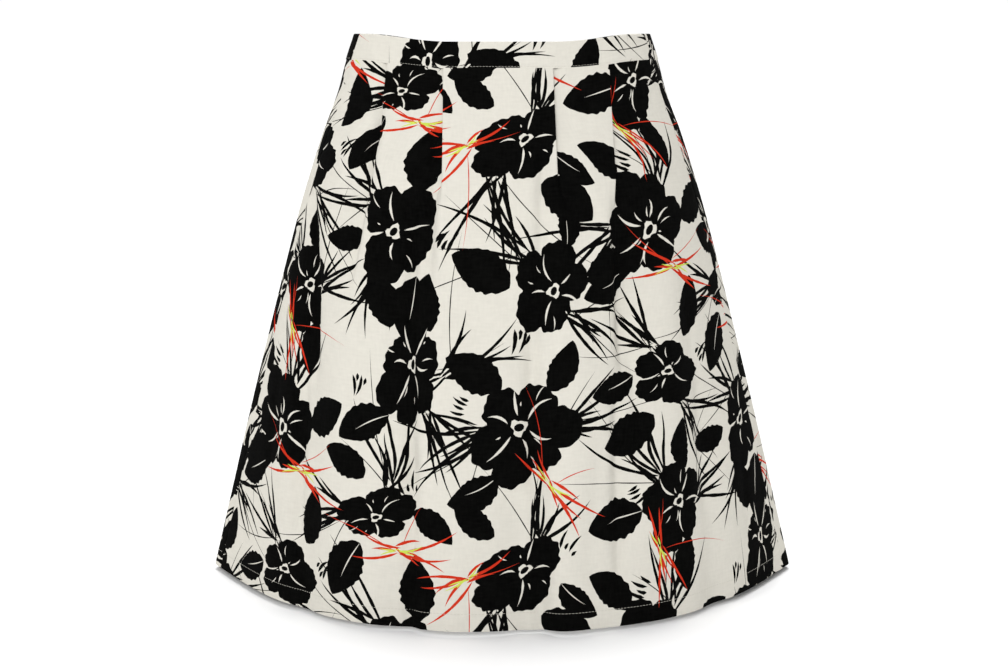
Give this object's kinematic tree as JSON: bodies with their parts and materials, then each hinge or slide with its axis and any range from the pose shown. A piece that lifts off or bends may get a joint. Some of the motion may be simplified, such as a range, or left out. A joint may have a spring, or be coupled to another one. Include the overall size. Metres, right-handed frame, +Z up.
{
  "type": "a-line skirt",
  "caption": "Knee-length A-line skirt with a narrow waistband, front knife pleats that open into soft folds, and a closed back zip; hollow, as worn.",
  "frame": {"origin": "middle of the waist opening, level with the waistband's top edge at the sides, where the wearer's waist holds the skirt", "axes": "+Z up out of the waist opening; the front faces -Y; +X is to the right of a viewer facing the front; metres"},
  "size_m": [0.6068, 0.4199, 0.5525],
  "materials": {
    "printed_cloth": "matt plain-weave cotton, cream with a black, red and lime floral print",
    "zip_tape": "fine woven tape",
    "zip_metal": "satin plated"
  },
  "bodies": {
    "skirt": {"front_panel": "printed_cloth", "back_left": "printed_cloth", "back_right": "printed_cloth", "waistband_front": "printed_cloth", "waistband_back_left": "printed_cloth", "waistband_back_right": "printed_cloth", "zip_tape": "zip_tape", "zip_slider": "zip_metal"},
    "pull": {"zip_pull": "zip_metal"}
  },
  "joints": [
    {"name": "pull_swing", "type": "hinge", "parent": "skirt", "child": "pull", "pos_m": [0, 0.10685, -0.01975], "axis": [1, 0, 0], "range_deg": [0, 150]}
  ]
}
